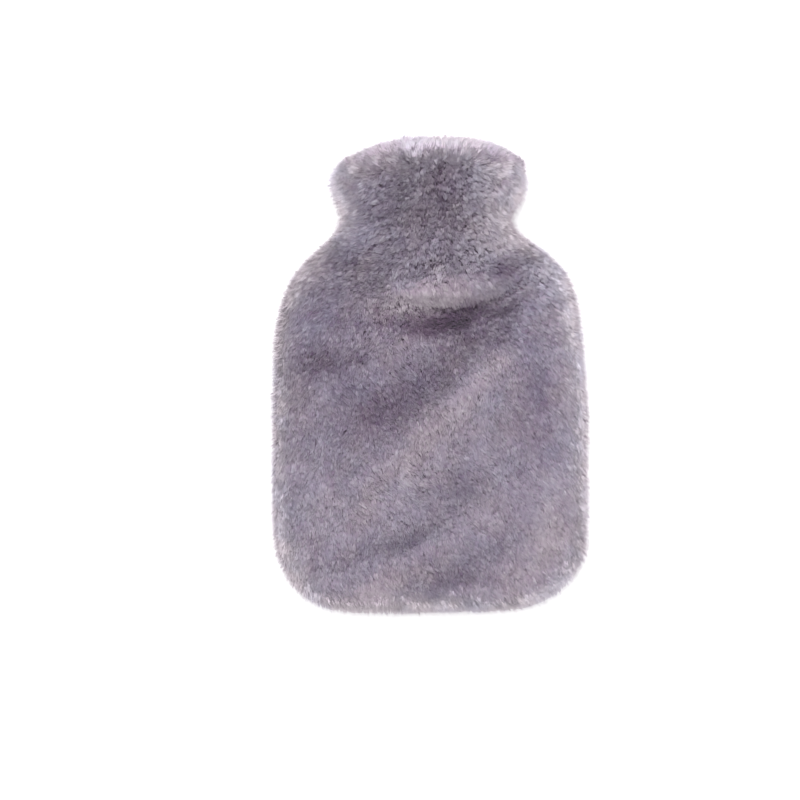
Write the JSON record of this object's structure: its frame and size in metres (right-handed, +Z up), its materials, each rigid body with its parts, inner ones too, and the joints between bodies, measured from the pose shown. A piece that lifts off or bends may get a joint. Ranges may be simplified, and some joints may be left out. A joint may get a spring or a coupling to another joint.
{
  "type": "hot water bottle cover",
  "caption": "Long-pile plush hot water bottle cover: broad rounded body, narrow waist and short flared neck with an open mouth, lying on its back with soft folds.",
  "frame": {"origin": "under the middle of the cover's box, on the surface that it lies on", "axes": "+Y along the cover to the mouth of its neck, +X to the right of its face, +Z up out of its face"},
  "size_m": [0.2252, 0.3399, 0.0431],
  "materials": {
    "plush": "dull long pile, mauve grey, paler at the tips"
  },
  "bodies": {
    "root": {"front_panel": "plush", "back_panel": "plush"}
  },
  "joints": []
}
